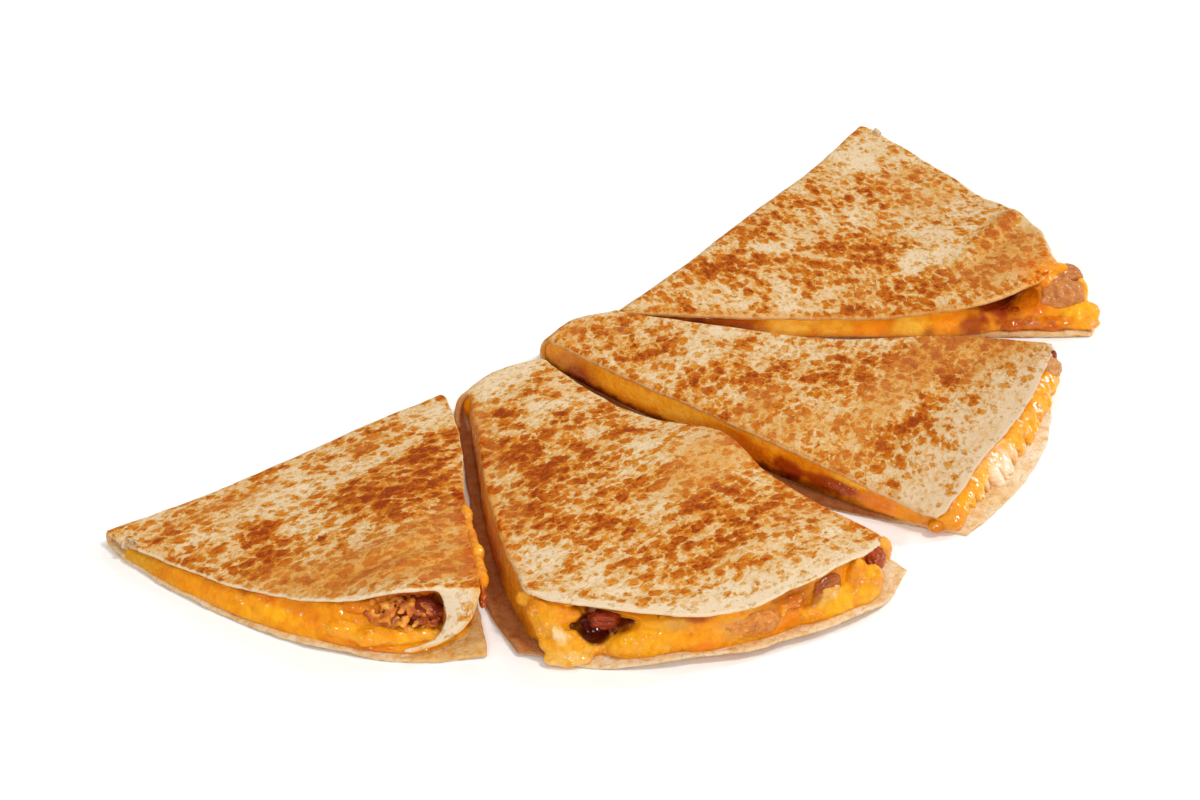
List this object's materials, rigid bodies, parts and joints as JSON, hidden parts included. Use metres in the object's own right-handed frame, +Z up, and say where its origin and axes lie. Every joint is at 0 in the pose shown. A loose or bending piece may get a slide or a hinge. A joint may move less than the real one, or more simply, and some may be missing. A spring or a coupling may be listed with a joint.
{
  "type": "chicken and cheese quesadilla",
  "caption": "Griddled flour tortilla folded in half over melted cheese and chicken, cut into wedges that lie slightly fanned in a half-moon.",
  "frame": {"origin": "bottom centre of the bounding box, on the surface the food lies on", "axes": "+X along the folded side, +Y out of the folded side, so the open round rim faces -Y, +Z up"},
  "size_m": [0.2838, 0.1554, 0.0145],
  "materials": {
    "tortilla": "griddled flour tortilla: pale beige, browned in spots, matte with greasy patches",
    "cheese": "melted orange cheese, smooth and glossy",
    "chicken": "browned seasoned chicken, fibrous and slightly moist"
  },
  "bodies": {
    "root": {"wedge1_tortilla": "tortilla", "wedge2_tortilla": "tortilla", "wedge3_tortilla": "tortilla", "wedge4_tortilla": "tortilla", "wedge1_cheese": "cheese", "wedge2_cheese": "cheese", "wedge3_cheese": "cheese", "wedge4_cheese": "cheese", "wedge1_chicken_a": "chicken", "wedge2_chicken_a": "chicken", "wedge2_chicken_b": "chicken", "wedge2_chicken_c": "chicken", "wedge2_chicken_d": "chicken", "wedge3_chicken_a": "chicken", "wedge3_chicken_b": "chicken", "wedge4_chicken_a": "chicken", "wedge4_chicken_b": "chicken"}
  },
  "joints": []
}
